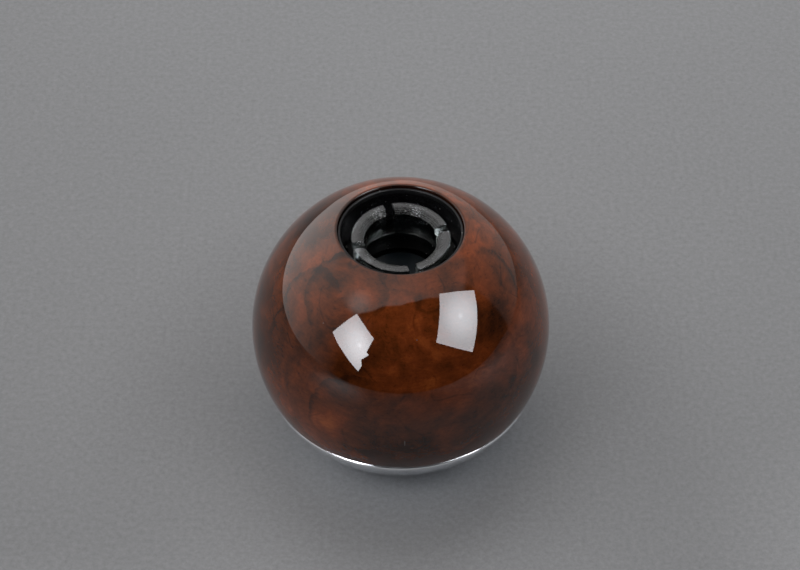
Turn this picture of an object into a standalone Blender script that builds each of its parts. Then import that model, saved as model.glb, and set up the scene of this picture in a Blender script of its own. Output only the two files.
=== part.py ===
"""Lacquered burl-wood ball with a snap-collet socket in its crown and a chrome-ringed, rubber-faced foot.

The ball stands on its foot: +Z is up through the socket, and the origin is the centre of the face
it rests on. Dimensions are in millimetres and are scaled to metres where a mesh is made.
Nearly every piece is turned about the Z axis, so most of them are an (r, z) profile and a Screw modifier.
"""

import math

import bmesh
import bpy
from mathutils import Matrix, Vector

MM = 0.001

# Driving dimensions, mm.
BALL_R = 25.0  # outside of the lacquered shell
BALL_Z = 20.0  # height of the ball's centre above the rest plane
SHANK_R = 6.0  # the 12 mm shank that the collet grips
FIT = 0.1  # gap between two pieces that touch
SEAM = 0.35  # dark line between the wood and the chrome

# Wooden shell.
SHELL_INNER_R = BALL_R - 3.0
SHELL_RIM_Z = 9.8  # its lower edge
SOCKET_HOLE_R = 10.35
HOLE_EDGE = 0.4  # rounding of the hole's edge
RIM_EDGE = 0.2
REBATE_R = 22.3  # groove in the lower edge that takes the seam ring
REBATE_Z = SHELL_RIM_Z + 0.9

# Chrome foot ring: it follows a sphere a little larger than the ball, so that it stands proud.
RING_R = BALL_R + 0.3
RING_TOP_Z = SHELL_RIM_Z - SEAM
RING_FOOT_Z = 0.6
RING_LAND_R = 20.6  # inner edge of its top land
RING_EDGE = 0.35
RING_WALL_R = 15.3  # inside of the skirt round the base plate
FLANGE_R = 13.4  # inner edge of the flange that the base plate clamps
FLANGE_Z = (2.9, 4.5)

# Moulded core inside the shell.
CORE_R = SHELL_INNER_R - 0.3
CORE_TOP_Z = 38.6
CORE_FOOT_Z = FLANGE_Z[1] + FIT
BALLAST_R = 9.3
BALLAST_TOP_Z = 15.8

# Black socket liner, a stepped cup in the core.
LINER_R = SOCKET_HOLE_R - FIT
LINER_BORE_R = 9.85
LINER_TOP_Z = 42.1
LINER_STEP_Z = 34.0  # ledge that carries the collet's flange
LINER_STEP_WALL = 1.1
LINER_CUP_R = 8.9
LINER_CUP_BORE_R = 8.1
LINER_FLOOR_Z = 30.8
LINER_FOOT_Z = 28.6

# Clear collet: a flanged tube with four sprung fingers.
COLLET_FLANGE_R = LINER_BORE_R - FIT
COLLET_TUBE_R = 8.0
COLLET_BORE_R = SHANK_R + 0.3
COLLET_FLANGE_TOP_Z = 35.6
RIB_COUNT = 4
RIB_WIDTH = 0.6
RIB_R = (8.6, COLLET_FLANGE_R)  # where a rib starts and ends
RIB_TOP_Z = (39.4, 37.2)  # its top edge falls outwards
FINGER_COUNT = 4
FINGER_ROOT_Z = 35.9
FINGER_TOP_Z = 40.85
FINGER_R = 8.1
FINGER_WAIST_R = 7.85
FIRST_SLOT_DEG = 15.5
SLOT_WIDTH = 1.5
HINGE_R = 7.2
HINGE_Z = (COLLET_FLANGE_TOP_Z + FINGER_ROOT_Z) / 2

# Disc at the bottom of the socket, where the end of the shank lands.
SOCKET_PAD_R = 5.9
SOCKET_PAD_TOP_Z = 31.5

# Base plate and rubber friction pad under it.
PLATE_R = 15.1
PLATE_BOSS_R = 13.2
PLATE_FOOT_Z = 1.7
PLATE_LIP_Z = 2.8
PLATE_TOP_Z = FLANGE_Z[1]
PAD_R = 13.3
PAD_GROOVE_DEPTH = 0.6
PAD_GROOVES = ((6.0, 6.9), (9.4, 10.3))  # inner and outer radius of each

# Fasteners.
BASE_SCREW_COUNT = 3
BASE_SCREW_CIRCLE_R = 11.6
BASE_SCREW_R = 1.25
BASE_HEAD_R = 2.1
BASE_INSERT_R = 1.6
BASE_INSERT_Z = (5.2, 11.0)
SOCKET_SCREW_R = 1.95
SOCKET_HEAD_R = 3.7
SOCKET_SCREW_FOOT_Z = 20.5
SOCKET_INSERT_R = 2.9
SOCKET_INSERT_Z = (19.5, 28.2)

# How finely round things are divided.
FINE = 48
MEDIUM = 32
COARSE = 16

PARTS = "friction_ball"
CUTTERS = "cutters"


# ---------------------------------------------------------------- scene

def clear_scene():
    for obj in list(bpy.data.objects):
        bpy.data.objects.remove(obj)


def collection(name):
    found = bpy.data.collections.get(name)
    if found is None:
        found = bpy.data.collections.new(name)
        bpy.context.scene.collection.children.link(found)
    return found


def material(name, colour, roughness, metallic=0.0, alpha=1.0):
    found = bpy.data.materials.new(name)
    found.use_nodes = True
    shader = found.node_tree.nodes["Principled BSDF"]
    shader.inputs["Base Color"].default_value = (*colour, 1.0)
    shader.inputs["Roughness"].default_value = roughness
    shader.inputs["Metallic"].default_value = metallic
    shader.inputs["Alpha"].default_value = alpha
    return found


def make_materials():
    return {
        "burl": material("burl_lacquer", (0.080, 0.022, 0.009), 0.08),
        "chrome": material("polished_chrome", (0.82, 0.83, 0.85), 0.08, metallic=1.0),
        "gloss_black": material("gloss_black_plastic", (0.012, 0.012, 0.014), 0.12),
        "core_black": material("moulded_core_plastic", (0.03, 0.03, 0.032), 0.5),
        "clear": material("clear_collet_plastic", (0.72, 0.76, 0.76), 0.05, alpha=0.45),
        "pad": material("socket_pad_rubber", (0.012, 0.022, 0.028), 0.45),
        "rubber": material("friction_rubber", (0.022, 0.022, 0.022), 0.8),
        "zinc": material("cast_zinc", (0.36, 0.37, 0.38), 0.5, metallic=1.0),
        "steel": material("zinc_plated_steel", (0.62, 0.63, 0.65), 0.3, metallic=1.0),
        "brass": material("turned_brass", (0.72, 0.52, 0.22), 0.3, metallic=1.0),
    }


# ---------------------------------------------------------------- profiles

def sphere_r(radius, z):
    """Radius at height z of a sphere about the ball's centre."""
    return math.sqrt(radius**2 - (z - BALL_Z) ** 2)


def sphere_z(radius, r):
    """Height at which the top of a sphere about the ball's centre has radius r."""
    return BALL_Z + math.sqrt(radius**2 - r**2)


def sphere_arc(radius, z_from, z_to, steps):
    """(r, z) points along a sphere about the ball's centre, both ends included."""
    start = math.acos((z_from - BALL_Z) / radius)
    end = math.acos((z_to - BALL_Z) / radius)
    angles = [start + (end - start) * i / steps for i in range(steps + 1)]
    return [(radius * math.sin(a), BALL_Z + radius * math.cos(a)) for a in angles]


def rounded(corners, steps=3):
    """Points of a profile. A corner (r, z, fillet) is rounded to that radius; (r, z) stays sharp."""
    points = []
    for i, corner in enumerate(corners):
        if len(corner) == 2:
            points.append(corner)
            continue
        here = Vector(corner[:2])
        to_last = (Vector(corners[i - 1][:2]) - here).normalized()
        to_next = (Vector(corners[(i + 1) % len(corners)][:2]) - here).normalized()
        half = to_last.angle(to_next) / 2
        centre = here + (to_last + to_next).normalized() * corner[2] / math.sin(half)
        spoke = here + to_last * corner[2] / math.tan(half) - centre
        last_spoke = here + to_next * corner[2] / math.tan(half) - centre
        turn = spoke.angle_signed(last_spoke)
        for k in range(steps + 1):
            arm = Matrix.Rotation(-turn * k / steps, 2) @ spoke
            points.append(tuple(centre + arm))
    return points


# ---------------------------------------------------------------- solids

def turned(name, profile, finish, segments=FINE, closed=True, into=PARTS):
    """A solid of revolution about Z. The profile runs down its outer side.
    A closed profile makes a ring; an open one starts and ends on the axis."""
    mesh = bpy.data.meshes.new(name)
    bm = bmesh.new()
    verts = [bm.verts.new((r * MM, 0.0, z * MM)) for r, z in profile]
    pairs = list(zip(verts, verts[1:]))
    if closed:
        pairs.append((verts[-1], verts[0]))
    for pair in pairs:
        bm.edges.new(pair)
    bm.to_mesh(mesh)
    bm.free()
    obj = bpy.data.objects.new(name, mesh)
    collection(into).objects.link(obj)
    screw = obj.modifiers.new("turn", "SCREW")
    screw.axis = "Z"
    screw.angle = math.tau
    screw.steps = segments
    screw.render_steps = segments
    screw.use_merge_vertices = True
    screw.merge_threshold = 0.00001
    screw.use_smooth_shade = True
    if finish:
        mesh.materials.append(finish)
    return obj


def cylinder_cutter(name, radius, z_from, z_to, centre=(0.0, 0.0), top_radius=None, segments=COARSE):
    """A cylinder, or a cone with another radius at its top, that only cuts."""
    bm = bmesh.new()
    bmesh.ops.create_cone(
        bm,
        cap_ends=True,
        segments=segments,
        radius1=radius * MM,
        radius2=(radius if top_radius is None else top_radius) * MM,
        depth=(z_to - z_from) * MM,
    )
    return cutter_from(bm, name, (centre[0], centre[1], (z_from + z_to) / 2))


def box_cutter(name, size, centre, turn_deg=0.0):
    bm = bmesh.new()
    bmesh.ops.create_cube(bm, size=1.0)
    bmesh.ops.scale(bm, vec=Vector(size) * MM, verts=bm.verts)
    return cutter_from(bm, name, centre, turn_deg)


def prism_cutter(name, outline, width, turn_deg):
    """A plate standing in a radial plane, from its (r, z) outline."""
    bm = bmesh.new()
    near = [bm.verts.new((r * MM, -width * MM / 2, z * MM)) for r, z in outline]
    face = bm.faces.new(near)
    far = bmesh.ops.extrude_face_region(bm, geom=[face])["geom"]
    far_verts = [v for v in far if isinstance(v, bmesh.types.BMVert)]
    bmesh.ops.translate(bm, vec=(0.0, width * MM, 0.0), verts=far_verts)
    bmesh.ops.recalc_face_normals(bm, faces=bm.faces)
    return cutter_from(bm, name, (0.0, 0.0, 0.0), turn_deg)


def cutter_from(bm, name, centre, turn_deg=0.0):
    mesh = bpy.data.meshes.new(name)
    bm.to_mesh(mesh)
    bm.free()
    obj = bpy.data.objects.new(name, mesh)
    collection(CUTTERS).objects.link(obj)
    obj.location = Vector(centre) * MM
    obj.rotation_euler.z = math.radians(turn_deg)
    obj.hide_render = True
    obj.display_type = "WIRE"
    return obj


def boolean(obj, cutter, operation="DIFFERENCE"):
    cut = obj.modifiers.new(cutter.name, "BOOLEAN")
    cut.operation = operation
    cut.solver = "EXACT"
    cut.object = cutter
    return obj


def round_the_axis(count, radius, first_deg=0.0):
    """(number from 1, angle in degrees, (x, y)) of places evenly spaced on a circle."""
    for i in range(count):
        angle = first_deg + i * 360.0 / count
        a = math.radians(angle)
        yield i + 1, angle, (radius * math.cos(a), radius * math.sin(a))


# ---------------------------------------------------------------- outside of the ball

def make_shell(finish):
    """Hollow wooden ball, open at the crown for the socket and below for the foot ring."""
    outer = sphere_arc(BALL_R, sphere_z(BALL_R, SOCKET_HOLE_R), SHELL_RIM_Z, 16)
    inner = sphere_arc(SHELL_INNER_R, REBATE_Z, sphere_z(SHELL_INNER_R, SOCKET_HOLE_R), 9)
    corners = [(*outer[0], HOLE_EDGE)] + outer[1:-1] + [(*outer[-1], RIM_EDGE)]
    corners += [(REBATE_R, SHELL_RIM_Z), (REBATE_R, REBATE_Z)] + inner
    return turned("burl_shell", rounded(corners), finish)


def make_seam_ring(finish):
    """Rubber ring between the shell's lower edge and the chrome, seen as a dark line."""
    low, high = RING_TOP_Z + FIT, REBATE_Z - FIT
    inner, outer = RING_LAND_R + 0.3, REBATE_R - FIT
    return turned("seam_ring", [(inner, high), (outer, high), (outer, low), (inner, low)], finish)


def make_foot_ring(finish):
    """Polished ring that carries on the ball's outline below the seam, with a flange inside."""
    outer = sphere_arc(RING_R, RING_TOP_Z, RING_FOOT_Z, 6)
    corners = [(RING_LAND_R, RING_TOP_Z), (*outer[0], RING_EDGE)] + outer[1:-1]
    corners += [(*outer[-1], RING_EDGE), (RING_WALL_R, RING_FOOT_Z), (RING_WALL_R, FLANGE_Z[0])]
    corners += [(FLANGE_R, FLANGE_Z[0]), (FLANGE_R, FLANGE_Z[1])]
    corners += sphere_arc(CORE_R + 0.9, FLANGE_Z[1], 8.0, 2) + [(RING_LAND_R, 8.0)]
    return turned("foot_ring", rounded(corners), finish)


def make_base_plate(finish):
    """Disc that clamps the foot ring's flange to the core. Its screws are countersunk from below."""
    profile = [(0.0, PLATE_TOP_Z), (PLATE_BOSS_R, PLATE_TOP_Z), (PLATE_BOSS_R, PLATE_LIP_Z)]
    profile += [(PLATE_R, PLATE_LIP_Z), (PLATE_R, PLATE_FOOT_Z), (0.0, PLATE_FOOT_Z)]
    plate = turned("base_plate", profile, finish, closed=False)
    shank_r = BASE_SCREW_R + 0.15
    head_r = BASE_HEAD_R + 0.15
    head_top_z = PLATE_FOOT_Z + head_r - shank_r
    for i, _, at in round_the_axis(BASE_SCREW_COUNT, BASE_SCREW_CIRCLE_R):
        hole = cylinder_cutter(f"plate_hole_{i}", shank_r, PLATE_FOOT_Z - 1, PLATE_TOP_Z + 1, at)
        sink = cylinder_cutter(
            f"plate_sink_{i}", head_r + 0.5, PLATE_FOOT_Z - 0.5, head_top_z, at, top_radius=shank_r
        )
        boolean(plate, hole)
        boolean(plate, sink)
    return plate


def make_friction_pad(finish):
    """Rubber disc that the ball stands on, with ring-shaped grooves in its face."""
    profile = [(0.0, PLATE_FOOT_Z - FIT), (PAD_R, PLATE_FOOT_Z - FIT), (PAD_R, 0.25), (PAD_R - 0.25, 0.0)]
    for inner, outer in reversed(PAD_GROOVES):
        profile += [(outer, 0.0), (outer, PAD_GROOVE_DEPTH), (inner, PAD_GROOVE_DEPTH), (inner, 0.0)]
    return turned("friction_pad", profile + [(0.0, 0.0)], finish, closed=False)


# ---------------------------------------------------------------- inside of the ball

def make_core(finish):
    """Moulded core that fills the shell: a pocket above for the liner, one below for the ballast."""
    wide_r, narrow_r = LINER_R + FIT, LINER_CUP_R + FIT
    step_z = LINER_STEP_Z - LINER_STEP_WALL - FIT
    floor_z = LINER_FOOT_Z - FIT
    pocket_r, pocket_z = BALLAST_R + 0.15, BALLAST_TOP_Z + 0.2
    outer = sphere_arc(CORE_R, CORE_TOP_Z, CORE_FOOT_Z, 12)
    profile = [(0.0, floor_z), (narrow_r, floor_z), (narrow_r, step_z), (wide_r, step_z)]
    profile += [(wide_r, CORE_TOP_Z)] + outer
    profile += [(pocket_r, CORE_FOOT_Z), (pocket_r, pocket_z), (0.0, pocket_z)]
    core = turned("core_body", profile, finish, closed=False, segments=MEDIUM)
    well = cylinder_cutter("core_well", SOCKET_INSERT_R + 0.1, SOCKET_INSERT_Z[0] - 0.3, floor_z + 1)
    boolean(core, well)
    for i, _, at in round_the_axis(BASE_SCREW_COUNT, BASE_SCREW_CIRCLE_R):
        hole = cylinder_cutter(
            f"core_hole_{i}", BASE_INSERT_R + 0.1, CORE_FOOT_Z - 1, BASE_INSERT_Z[1] + 0.3, at
        )
        boolean(core, hole)
    return core


def make_ballast(finish):
    low, high = CORE_FOOT_Z + 0.3, BALLAST_TOP_Z
    corners = [(0.0, high), (BALLAST_R, high, 0.6), (BALLAST_R, low, 0.6), (0.0, low)]
    return turned("ballast_weight", rounded(corners), finish, closed=False, segments=MEDIUM)


def make_insert(name, radius, bore, span, at, finish):
    """Turned brass bush that a screw threads into, with a waist that keys it in the moulding."""
    low, high = span
    third = (high - low) / 3
    waist = radius - 0.2
    profile = [(bore, high), (radius, high), (radius, high - third), (waist, high - third)]
    profile += [(waist, low + third), (radius, low + third), (radius, low), (bore, low)]
    insert = turned(name, profile, finish, segments=COARSE)
    insert.location = (at[0] * MM, at[1] * MM, 0.0)
    return insert


def make_screw(name, radius, head_r, tip_z, head_z, at, finish, head_up):
    """Countersunk screw with a straight slot. Its head face lies at head_z."""
    way = 1.0 if head_up else -1.0
    neck_z = head_z - way * (head_r - radius)
    profile = [(0.0, head_z), (head_r, head_z), (radius, neck_z)]
    profile += [(radius, tip_z + way * 0.5), (radius - 0.5, tip_z), (0.0, tip_z)]
    if not head_up:
        profile.reverse()
    screw = turned(name, profile, finish, segments=COARSE, closed=False)
    screw.location = (at[0] * MM, at[1] * MM, 0.0)
    slot = box_cutter(
        f"{name}_slot", (head_r * 1.5, head_r * 0.22, head_r * 0.5), (at[0], at[1], head_z), 30.0
    )
    return boolean(screw, slot)


# ---------------------------------------------------------------- socket

def make_liner(finish):
    """Glossy black cup that lines the socket: a wide mouth, a ledge and a narrow cup under it."""
    under_step = LINER_STEP_Z - LINER_STEP_WALL
    head_seat_r = SOCKET_HEAD_R + 0.15
    hole_r = SOCKET_SCREW_R + 0.15
    corners = [
        (LINER_BORE_R, LINER_TOP_Z, 0.15),
        (LINER_R, LINER_TOP_Z, 0.15),
        (LINER_R, under_step),
        (LINER_CUP_R, under_step),
        (LINER_CUP_R, LINER_FOOT_Z),
        (hole_r, LINER_FOOT_Z),
        (hole_r, LINER_FLOOR_Z - (head_seat_r - hole_r)),
        (head_seat_r, LINER_FLOOR_Z),
        (LINER_CUP_BORE_R, LINER_FLOOR_Z),
        (LINER_CUP_BORE_R, LINER_STEP_Z),
        (LINER_BORE_R, LINER_STEP_Z),
    ]
    return turned("socket_liner", rounded(corners), finish)


def make_collet_base(finish):
    """Flange and tube of the clear collet. The fingers stand on the flange's inner edge, and thin
    ribs stand on its outer part and centre whatever is pushed over the fingers."""
    corners = [
        (COLLET_BORE_R, COLLET_FLANGE_TOP_Z),
        (COLLET_FLANGE_R, COLLET_FLANGE_TOP_Z, 0.2),
        (COLLET_FLANGE_R, LINER_STEP_Z + FIT),
        (COLLET_TUBE_R, LINER_STEP_Z + FIT),
        (COLLET_TUBE_R, LINER_FLOOR_Z + FIT),
        (COLLET_BORE_R, LINER_FLOOR_Z + FIT),
    ]
    base = turned("collet_base", rounded(corners), finish)
    root_z = COLLET_FLANGE_TOP_Z - 0.5
    rib = [(RIB_R[0], root_z), (RIB_R[1], root_z), (RIB_R[1], RIB_TOP_Z[1]), (RIB_R[0], RIB_TOP_Z[0])]
    for i, angle, _ in round_the_axis(RIB_COUNT, 0.0):
        boolean(base, prism_cutter(f"collet_rib_{i}", rib, RIB_WIDTH, angle), "UNION")
    return base


def finger_profile():
    """Section of a finger: a proud outer lip, a stepped lead-in and an inner snap lip."""
    top, lip_r = FINGER_TOP_Z, SHANK_R
    return [
        (COLLET_BORE_R, FINGER_ROOT_Z),
        (COLLET_BORE_R, top - 2.1),
        (lip_r, top - 1.7),
        (lip_r, top - 0.75),
        (lip_r + 0.4, top - 0.35),
        (lip_r + 0.6, top - 0.35),
        (lip_r + 0.6, top - 0.15),
        (lip_r + 0.87, top - 0.15),
        (lip_r + 0.87, top),
        (FINGER_R - 0.15, top),
        (FINGER_R, top - 0.15),
        (FINGER_R, top - 1.05),
        (FINGER_WAIST_R, top - 1.3),
        (FINGER_WAIST_R, FINGER_ROOT_Z),
    ]


def make_finger(number, angle_deg, hinge_xy, finish):
    """One sprung quadrant of the collet, on an empty that lies on its hinge's axis."""
    name = f"collet_finger_{number}"
    hinge = bpy.data.objects.new(f"{name}_hinge", None)
    collection(PARTS).objects.link(hinge)
    hinge.location = (hinge_xy[0] * MM, hinge_xy[1] * MM, HINGE_Z * MM)
    hinge.rotation_euler.z = math.radians(angle_deg)
    hinge.empty_display_size = 2 * MM

    finger = turned(name, finger_profile(), finish)
    finger.parent = hinge
    finger.location = (-HINGE_R * MM, 0.0, -HINGE_Z * MM)

    # The quadrant is a square block whose near corner is half a slot from both of its slots' middles.
    side = 3 * FINGER_R
    reach = math.sqrt(2) * (SLOT_WIDTH + side) / 2
    a = math.radians(angle_deg)
    middle = (reach * math.cos(a), reach * math.sin(a), (FINGER_ROOT_Z + FINGER_TOP_Z) / 2)
    quadrant = box_cutter(f"{name}_quadrant", (side, side, side), middle, angle_deg + 45.0)
    return boolean(finger, quadrant, "INTERSECT")


def make_socket_pad(finish):
    low = LINER_FLOOR_Z + FIT
    corners = [(0.0, SOCKET_PAD_TOP_Z), (SOCKET_PAD_R, SOCKET_PAD_TOP_Z), (SOCKET_PAD_R, low), (0.0, low)]
    return turned("socket_pad", corners, finish, closed=False, segments=MEDIUM)


# ---------------------------------------------------------------- assembly

def main():
    clear_scene()
    finish = make_materials()

    make_shell(finish["burl"])
    make_seam_ring(finish["rubber"])
    make_foot_ring(finish["chrome"])
    make_base_plate(finish["core_black"])
    make_friction_pad(finish["rubber"])

    make_core(finish["core_black"])
    make_ballast(finish["zinc"])
    make_insert(
        "socket_insert", SOCKET_INSERT_R, SOCKET_SCREW_R + 0.1, SOCKET_INSERT_Z, (0.0, 0.0), finish["brass"]
    )
    make_screw(
        "socket_screw", SOCKET_SCREW_R, SOCKET_HEAD_R, SOCKET_SCREW_FOOT_Z, LINER_FLOOR_Z,
        (0.0, 0.0), finish["steel"], head_up=True,
    )
    for i, _, at in round_the_axis(BASE_SCREW_COUNT, BASE_SCREW_CIRCLE_R):
        make_insert(f"base_insert_{i}", BASE_INSERT_R, BASE_SCREW_R + 0.1, BASE_INSERT_Z, at, finish["brass"])
        make_screw(
            f"base_screw_{i}", BASE_SCREW_R, BASE_HEAD_R, 9.5, PLATE_FOOT_Z, at, finish["steel"], head_up=False
        )

    make_liner(finish["gloss_black"])
    make_collet_base(finish["clear"])
    first_finger = FIRST_SLOT_DEG + 180.0 / FINGER_COUNT
    for i, angle, at in round_the_axis(FINGER_COUNT, HINGE_R, first_finger):
        make_finger(i, angle, at, finish["clear"])
    make_socket_pad(finish["pad"])


main()
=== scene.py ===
"""Visual model of a lacquered burl-wood ball with a clear snap collet in its crown and a chrome foot ring.

Lengths are in millimetres in the ball's own frame (+Z up through the socket, origin at the centre of
the face it stands on) and are scaled to metres where a mesh is made. Directions round the ball are an
azimuth, 0 towards the camera and 90 towards +X, and an elevation above the horizon, in degrees.
"""

import math

import bmesh
import bpy
from mathutils import Matrix, Vector


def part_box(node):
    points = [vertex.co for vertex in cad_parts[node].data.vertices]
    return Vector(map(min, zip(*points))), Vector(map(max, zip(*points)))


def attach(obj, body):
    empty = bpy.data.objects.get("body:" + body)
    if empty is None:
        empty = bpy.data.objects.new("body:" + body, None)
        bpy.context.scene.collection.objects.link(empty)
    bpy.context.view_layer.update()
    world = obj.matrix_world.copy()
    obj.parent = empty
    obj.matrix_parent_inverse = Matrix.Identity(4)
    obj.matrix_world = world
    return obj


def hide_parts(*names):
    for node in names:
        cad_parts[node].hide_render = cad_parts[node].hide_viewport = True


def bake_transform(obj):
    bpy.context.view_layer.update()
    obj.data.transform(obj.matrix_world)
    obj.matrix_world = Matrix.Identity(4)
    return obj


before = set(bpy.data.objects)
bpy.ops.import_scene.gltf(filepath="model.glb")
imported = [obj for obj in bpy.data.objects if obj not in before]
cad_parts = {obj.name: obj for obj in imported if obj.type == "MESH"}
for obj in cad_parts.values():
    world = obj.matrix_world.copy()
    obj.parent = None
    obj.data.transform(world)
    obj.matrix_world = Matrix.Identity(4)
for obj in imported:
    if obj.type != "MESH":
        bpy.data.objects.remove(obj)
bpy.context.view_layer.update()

MM = 0.001


# ---------------------------------------------------------------- sizes, from the frame

def top(node):
    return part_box(node)[1][2] / MM


def foot(node):
    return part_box(node)[0][2] / MM


def radius(node):
    low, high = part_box(node)
    return (high[0] - low[0]) / 2 / MM


BALL_R = round(radius("burl_shell"), 1)  # the frame's flat facets make it a hair smaller
BALL_Z = 20.0  # height of the ball's centre
FIT = 0.1  # clearance between pieces that fit into each other

HOLE_R = radius("socket_liner") + FIT
HOLE_EDGE = 0.6  # radius of the lacquer's soft shoulder round the hole
HOLE_EDGE_END_DEG = 102.0  # where the shoulder ends (90 is its top) and a small corner turns down the hole
HOLE_CORNER = 0.15
RIM_EDGE = 0.2
SHELL_WALL = 3.0
SHELL_INNER_R = BALL_R - SHELL_WALL
SHELL_RIM_Z = foot("burl_shell")
REBATE_R = radius("seam_ring") + FIT
REBATE_Z = top("seam_ring") + FIT
SEAM_INSET = 0.3

RING_PROUD = 0.3  # of the ball's own sphere
RING_R = BALL_R + RING_PROUD
RING_TOP_Z = top("foot_ring")
RING_FOOT_Z = foot("foot_ring")
RING_LAND_R = 20.6
RING_LAND_FOOT_Z = 8.0
RING_INSIDE_R = 22.6  # of the hollow's sphere
RING_WALL_R = radius("base_plate") + 0.2  # clear of the plate's edge
RING_EDGE = 0.75  # radius of the broad rounding that tucks under the wood
RING_EDGE_TOP_DEG = 40.0  # how far up that rounding goes (90 would be its top)
RING_FLANGE_R = 13.4
RING_FLANGE_Z = (2.9, 4.5)

LINER_R = radius("socket_liner")
LINER_WALL = 0.4
LINER_BORE_R = LINER_R - LINER_WALL
LINER_TOP_Z = top("socket_liner")
LINER_FOOT_Z = foot("socket_liner")
LINER_STEP_Z = 34.0
LINER_STEP_WALL = 1.1
LINER_CUP_R = 8.9
LINER_CUP_BORE_R = 8.1
LINER_FLOOR_Z = foot("socket_pad") - FIT
LINER_SCREW_R = 2.1  # the screw's hole and the countersink for its head
LINER_HEAD_R = 3.85
LINER_HEAD_DEPTH = 1.75

COLLET_FLANGE_R = LINER_BORE_R - FIT
COLLET_FLANGE_TOP_Z = 35.6
COLLET_TUBE_R = 8.0
COLLET_BORE_R = 6.3
SHANK_R = 6.0
FINGERS = 4
FINGER_R = 8.1
FINGER_WAIST_R = 7.85
FINGER_TOP_Z = top("collet_finger_1")
LEAD_IN_PITCH = 0.27  # spacing of the painted shade lines over the lead-in steps on the fingers' flats

# How far below the finger's top its bore starts to narrow and reaches the lip, and where its collar
# ends and its waist starts.
LIP_RAMP = (2.1, 1.7)
COLLAR = (1.05, 1.3)

# Steps of the fingers' lead-in: how far each is outside the lip, how far its foot and its top are
# below the finger's top, and the fillet along its top.
LEAD_IN_STEPS = (
    (0.22, 0.66, 0.44, 0.05),
    (0.50, 0.44, 0.24, 0.05),
    (0.76, 0.24, 0.10, 0.04),
    (0.98, 0.10, 0.0, 0.05),
)
LEAD_IN_FILLET = 0.03  # along the foot of each step

FIRST_SLOT_DEG = 15.5  # from +X towards +Y
SLOT_WIDTH = 1.5
RIB_TOP_Z = (39.4, 37.2)
RIB_R = (8.6, COLLET_FLANGE_R)
RIB_WIDTH = 0.6

SOCKET_PAD_R = radius("socket_pad")
SOCKET_PAD_TOP_Z = top("socket_pad")

PAD_R = radius("friction_pad")
PAD_TOP_Z = top("friction_pad")
PAD_GROOVES = ((6.0, 6.9), (9.4, 10.3))
PAD_GROOVE_DEPTH = 0.6

RIB_GAP = 0.01  # the ribs and fingers are moulded with the flange, and these gaps keep them apart here
FINGER_GAP = 0.02

ROUND = 160  # divisions of a turned piece
FINE_ROUND = 200  # and of the wood and the chrome
SHARP_DEG = 35.0  # a turn of the surface by more than this is shaded as an edge
BEVEL_DEG = 40.0  # and one by more than this is bevelled where a piece is softened


def direction(azimuth, elevation):
    a, e = math.radians(azimuth), math.radians(elevation)
    return Vector((math.sin(a) * math.cos(e), -math.cos(a) * math.cos(e), math.sin(e)))


def on_ball(azimuth, elevation):
    """Point of the ball's surface, in mm."""
    return Vector((0.0, 0.0, BALL_Z)) + BALL_R * direction(azimuth, elevation)


# ---------------------------------------------------------------- node trees

class Nodes:
    """A material's or the world's node tree, with short ways to add and join nodes."""

    def __init__(self, owner):
        owner.use_nodes = True
        self.tree = owner.node_tree

    def add(self, kind, inputs=None, **settings):
        node = self.tree.nodes.new(kind)
        for name, value in settings.items():
            setattr(node, name, value)
        for name, value in (inputs or {}).items():
            self.put(node.inputs[name], value)
        return node

    def put(self, socket, value):
        if isinstance(value, bpy.types.NodeSocket):
            self.tree.links.new(value, socket)
        else:
            socket.default_value = value

    def math(self, operation, a, b=0.0, c=0.0):
        node = self.add("ShaderNodeMath", operation=operation)
        for socket, value in zip(node.inputs, (a, b, c)):
            self.put(socket, value)
        return node.outputs[0]

    def vector(self, operation, a, b=(0.0, 0.0, 0.0), scale=None):
        node = self.add("ShaderNodeVectorMath", operation=operation)
        self.put(node.inputs[0], a)
        self.put(node.inputs[1], b)
        if scale is not None:
            self.put(node.inputs["Scale"], scale)
        return node.outputs["Value" if operation in ("LENGTH", "DISTANCE", "DOT_PRODUCT") else "Vector"]

    def ramp(self, value, low, high, to_low=0.0, to_high=1.0, smooth=True):
        """to_low where value is low, easing to to_high where it is high, and level beyond both."""
        node = self.add("ShaderNodeMapRange", interpolation_type="SMOOTHSTEP" if smooth else "LINEAR")
        for name, what in (
            ("Value", value), ("From Min", low), ("From Max", high), ("To Min", to_low), ("To Max", to_high)
        ):
            self.put(node.inputs[name], what)
        return node.outputs["Result"]

    def colours(self, value, stops):
        node = self.add("ShaderNodeValToRGB", {"Fac": value})
        elements = node.color_ramp.elements
        while len(elements) < len(stops):
            elements.new(0.5)
        for element, (place, colour) in zip(elements, stops):
            element.position = place
            element.color = (*colour, 1.0)
        return node.outputs["Color"]

    def mix(self, factor, a, b):
        """Colour a where factor is 0 and b where it is 1. Either may be a plain (r, g, b)."""
        node = self.add("ShaderNodeMix", data_type="RGBA")
        self.put(node.inputs["Factor"], factor)
        for socket, value in ((node.inputs[6], a), (node.inputs[7], b)):
            self.put(socket, (*value, 1.0) if isinstance(value, tuple) else value)
        return node.outputs[2]

    def noise(self, vector, scale, detail=2.0, roughness=0.5, colour=False):
        settings = {"Vector": vector, "Scale": scale, "Detail": detail, "Roughness": roughness}
        node = self.add("ShaderNodeTexNoise", settings)
        return node.outputs["Color" if colour else "Fac"]

    def place(self):
        """Where a point of the surface is, in mm in the ball's frame."""
        coordinates = self.add("ShaderNodeTexCoord")
        return self.vector("SCALE", coordinates.outputs["Object"], scale=1 / MM)

    def parts(self, vector):
        """The X, Y and Z of a vector."""
        return self.add("ShaderNodeSeparateXYZ", {"Vector": vector}).outputs

    def from_axis(self, at):
        """Distance from the ball's upright axis."""
        return self.vector("LENGTH", self.vector("MULTIPLY", at, (1.0, 1.0, 0.0)))

    def bump(self, height, distance_mm):
        node = self.add("ShaderNodeBump", {"Height": height, "Distance": distance_mm * MM})
        return node.outputs["Normal"]


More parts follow.
